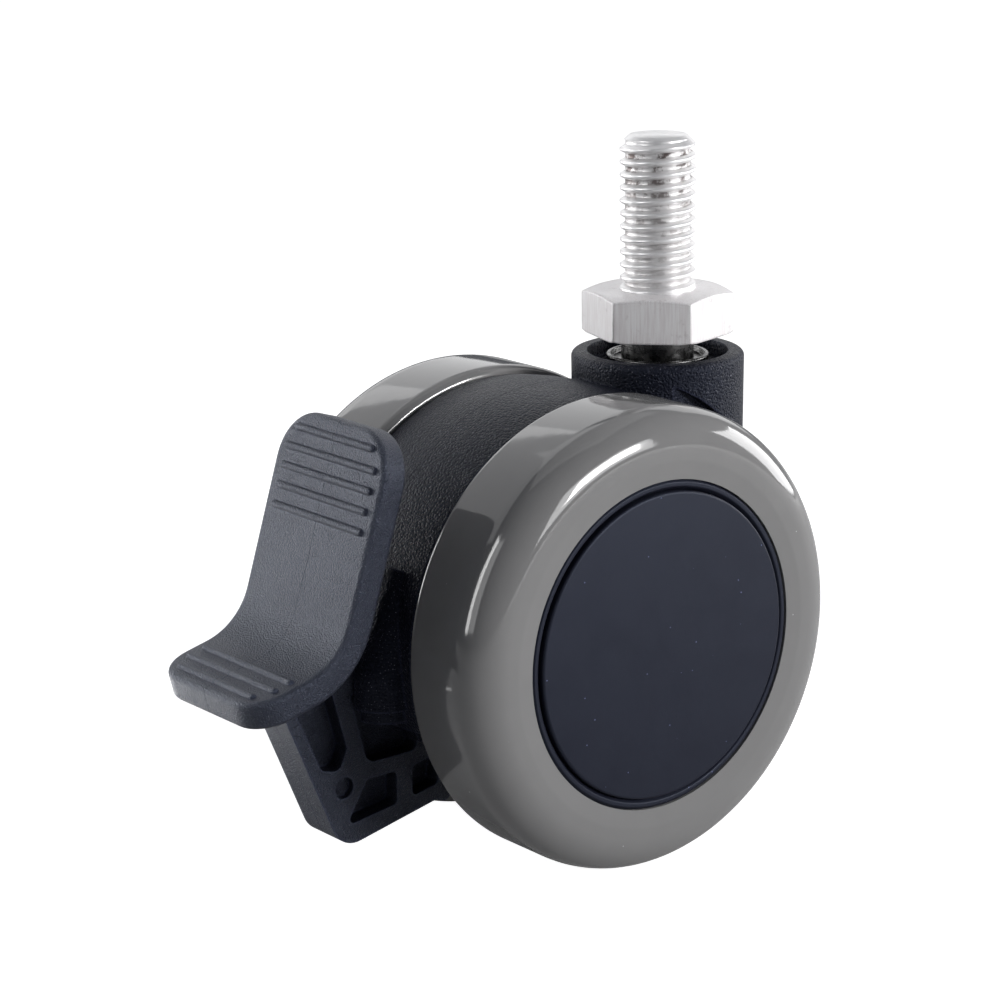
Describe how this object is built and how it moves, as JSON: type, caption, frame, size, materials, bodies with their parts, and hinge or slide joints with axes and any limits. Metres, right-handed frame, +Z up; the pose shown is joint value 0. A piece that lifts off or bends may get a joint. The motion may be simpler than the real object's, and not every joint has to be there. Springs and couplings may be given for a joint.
{
  "type": "chair caster wheel",
  "caption": "Braked twin-wheel swivel caster with a threaded stem and S-shaped brake pedal, screwed into a chair leg so that it rolls, turns and locks.",
  "frame": {"origin": "on the swivel axis at the top face of the hex collar, where it meets the chair's leg", "axes": "+Z up along the threaded stem and swivel axis; the wheels trail at -X; +Y along the axle towards the left wheel"},
  "size_m": [0.1055, 0.0606, 0.1123],
  "materials": {
    "zinc_steel": "bright zinc plate",
    "bearing_steel": "ground bearing steel",
    "spring_steel": "blued spring steel",
    "black_housing": "spark-eroded texture",
    "black_pedal": "fine texture",
    "black_cap": "fine matt",
    "bush_acetal": "moulded acetal",
    "grey_tread": "glossy soft polyurethane"
  },
  "bodies": {
    "stem": {"threaded_stem": "zinc_steel", "dust_washer": "zinc_steel", "stem_clip": "spring_steel", "swivel_inner_ring": "bearing_steel"},
    "fork": {"housing": "black_housing", "lower_bush": "bush_acetal", "boss_plug": "black_housing", "axle": "zinc_steel", "swivel_outer_ring": "bearing_steel", "pivot_pin": "zinc_steel", "detent_spring": "spring_steel", "axle_spacer_left": "zinc_steel", "axle_clip_left": "spring_steel", "hub_inner_ring_left": "bearing_steel", "axle_spacer_right": "zinc_steel", "axle_clip_right": "spring_steel", "hub_inner_ring_right": "bearing_steel"},
    "pedal": {"pedal": "black_pedal", "brake_bar": "zinc_steel"},
    "swivel_cage": {"swivel_balls": "bearing_steel"},
    "wheel_left": {"wheel_core_left": "black_cap", "tread_left": "grey_tread", "hub_cap_left": "black_cap", "brake_ring_left": "black_cap", "hub_outer_ring_left": "bearing_steel"},
    "hub_cage_left": {"hub_balls_left": "bearing_steel"},
    "wheel_right": {"wheel_core_right": "black_cap", "tread_right": "grey_tread", "hub_cap_right": "black_cap", "brake_ring_right": "black_cap", "hub_outer_ring_right": "bearing_steel"},
    "hub_cage_right": {"hub_balls_right": "bearing_steel"}
  },
  "joints": [
    {"name": "swivel", "type": "hinge", "parent": "stem", "child": "fork", "pos_m": [0, 0, 0], "axis": [0, 0, 1], "continuous": true},
    {"name": "swivel_cage_turn", "type": "hinge", "parent": "stem", "child": "swivel_cage", "pos_m": [0, 0, 0], "axis": [0, 0, 1], "continuous": true},
    {"name": "brake", "type": "hinge", "parent": "fork", "child": "pedal", "pos_m": [-0.05125, 0, -0.0584], "axis": [0, -1, 0], "range_deg": [0, 14]},
    {"name": "roll_left", "type": "hinge", "parent": "fork", "child": "wheel_left", "pos_m": [-0.02525, 0, -0.0494], "axis": [0, 1, 0], "continuous": true},
    {"name": "hub_cage_turn_left", "type": "hinge", "parent": "fork", "child": "hub_cage_left", "pos_m": [-0.02525, 0, -0.0494], "axis": [0, 1, 0], "continuous": true},
    {"name": "roll_right", "type": "hinge", "parent": "fork", "child": "wheel_right", "pos_m": [-0.02525, 0, -0.0494], "axis": [0, 1, 0], "continuous": true},
    {"name": "hub_cage_turn_right", "type": "hinge", "parent": "fork", "child": "hub_cage_right", "pos_m": [-0.02525, 0, -0.0494], "axis": [0, 1, 0], "continuous": true}
  ],
  "couplings": [
    {"joint": "swivel_cage_turn", "follows": "swivel", "ratio": 0.5721},
    {"joint": "hub_cage_turn_left", "follows": "roll_left", "ratio": 0.632},
    {"joint": "hub_cage_turn_right", "follows": "roll_right", "ratio": 0.632}
  ]
}
